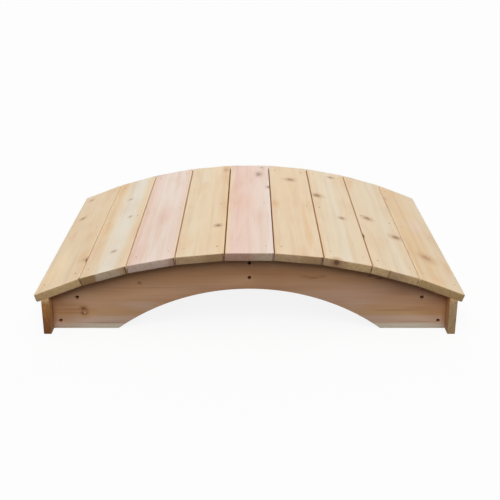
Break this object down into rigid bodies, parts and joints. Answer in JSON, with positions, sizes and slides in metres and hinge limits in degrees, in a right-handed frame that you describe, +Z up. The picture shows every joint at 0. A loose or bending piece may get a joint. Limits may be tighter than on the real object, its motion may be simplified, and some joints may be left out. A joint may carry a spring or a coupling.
{
  "type": "arched plank garden bridge",
  "caption": "Low arched garden bridge of sawn cedar: deck planks fanned over arched stringers, with an upright board closing each end and no handrails.",
  "frame": {"origin": "on the ground under the middle of the bridge", "axes": "+X along the bridge, +Y across it from the side the picture shows to the far side, +Z up"},
  "size_m": [1.2638, 0.918, 0.259],
  "materials": {
    "tan_plank": "planed, unfinished",
    "cream_plank": "planed, unfinished",
    "pink_plank": "planed, unfinished",
    "stringer_timber": "planed, unfinished",
    "end_board_timber": "planed, unfinished",
    "blocking_timber": "planed, unfinished",
    "screw_steel": "dull coated"
  },
  "bodies": {
    "root": {"deck_plank_1": "tan_plank", "deck_plank_2": "cream_plank", "deck_plank_3": "pink_plank", "deck_plank_4": "tan_plank", "deck_plank_5": "pink_plank", "deck_plank_6": "tan_plank", "deck_plank_7": "cream_plank", "deck_plank_8": "cream_plank", "deck_plank_9": "tan_plank", "front_stringer": "stringer_timber", "middle_stringer": "stringer_timber", "back_stringer": "stringer_timber", "left_end_board": "end_board_timber", "right_end_board": "end_board_timber", "front_crown_spacer": "blocking_timber", "back_crown_spacer": "blocking_timber", "front_left_cleat": "blocking_timber", "front_right_cleat": "blocking_timber", "back_left_cleat": "blocking_timber", "back_right_cleat": "blocking_timber"}
  },
  "joints": []
}
